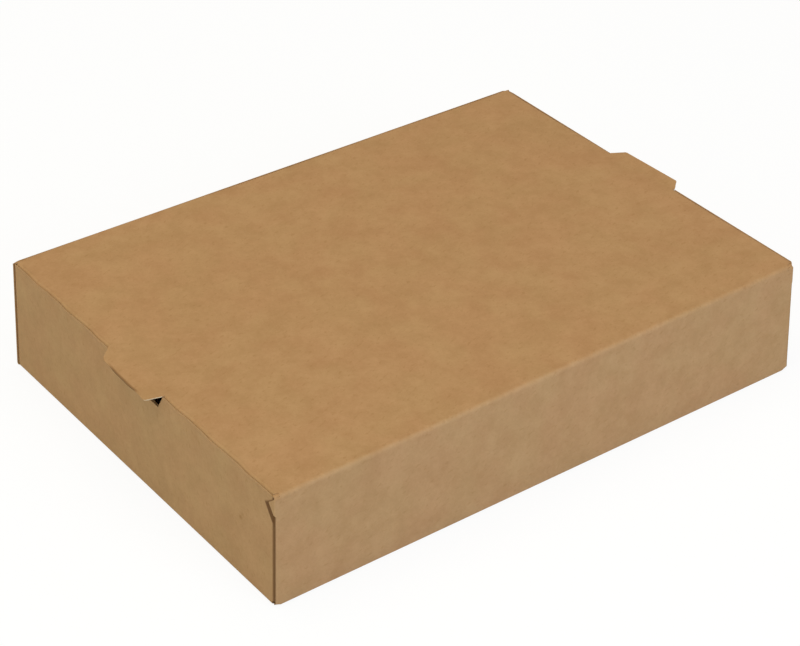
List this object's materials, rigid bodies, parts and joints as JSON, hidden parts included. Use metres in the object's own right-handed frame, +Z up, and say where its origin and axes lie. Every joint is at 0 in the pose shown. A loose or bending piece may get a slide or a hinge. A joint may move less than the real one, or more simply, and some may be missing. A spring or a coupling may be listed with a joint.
{
  "type": "takeout box",
  "caption": "Shallow rectangular takeout box folded from kraft board, with a hinged tuck-in lid whose end flaps leave a short tongue standing out over a notch in each end wall.",
  "frame": {"origin": "centre of the bottom face, on the surface that the box stands on", "axes": "+X along the box towards one end wall, +Y from the wall that the lid is hinged on towards the front wall, +Z up"},
  "size_m": [0.2926, 0.2, 0.054],
  "materials": {
    "kraft_board": "matt brown kraft board"
  },
  "bodies": {
    "tray": {"tray": "kraft_board"},
    "lid": {"lid": "kraft_board"}
  },
  "joints": [
    {"name": "lid_hinge", "type": "hinge", "parent": "tray", "child": "lid", "pos_m": [0, -0.1, 0.052], "axis": [1, 0, 0], "range_deg": [0, 180]}
  ]
}
